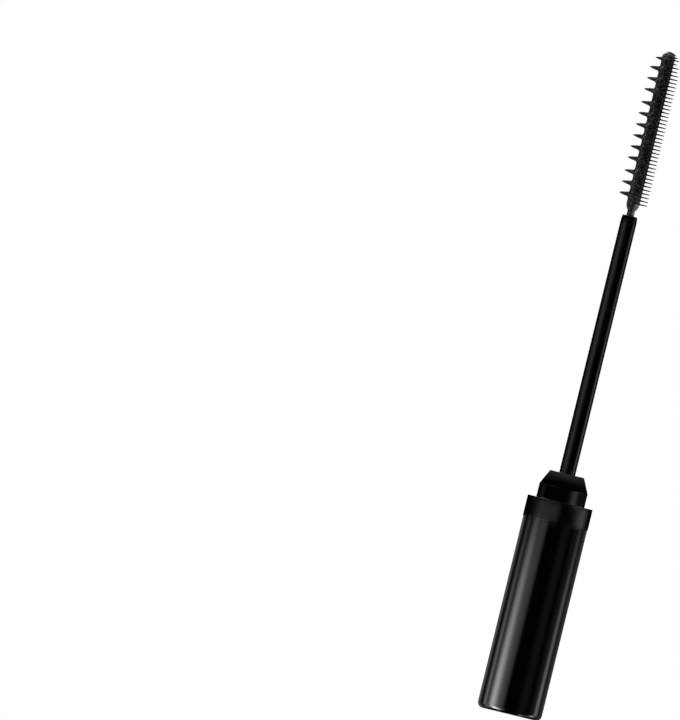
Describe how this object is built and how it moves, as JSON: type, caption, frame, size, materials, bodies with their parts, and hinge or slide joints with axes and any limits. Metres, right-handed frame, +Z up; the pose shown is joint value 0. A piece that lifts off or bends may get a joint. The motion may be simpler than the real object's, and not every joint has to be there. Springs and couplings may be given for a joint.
{
  "type": "mascara applicator",
  "caption": "Mascara applicator with a glossy closed handle, a satin collar, a stopper plug, a slim rod and a moulded brush with long teeth opposite fine bristles.",
  "frame": {"origin": "centre of the handle's flat foot, on the surface that it stands on", "axes": "+Z up the wand from the foot to the end of the brush, -X the side of the middle column of long teeth, +X the side of the fine bristles, -Y the side that the picture shows"},
  "size_m": [0.013, 0.013, 0.1328],
  "materials": {
    "gloss_shell": "high-gloss black",
    "satin_collar": "satin black anodised",
    "sleeve_plastic": "as moulded black",
    "plug_plastic": "semi-gloss black",
    "rod_plastic": "smooth glossy black",
    "brush_plastic": "soft black elastomer, as moulded"
  },
  "bodies": {
    "root": {"handle_shell": "gloss_shell", "collar_ring": "satin_collar", "core_sleeve": "sleeve_plastic", "stopper_plug": "plug_plastic", "applicator_rod": "rod_plastic", "brush_comb": "brush_plastic", "bristle_band_1": "brush_plastic", "bristle_band_2": "brush_plastic", "bristle_band_3": "brush_plastic", "bristle_band_4": "brush_plastic"}
  },
  "joints": []
}
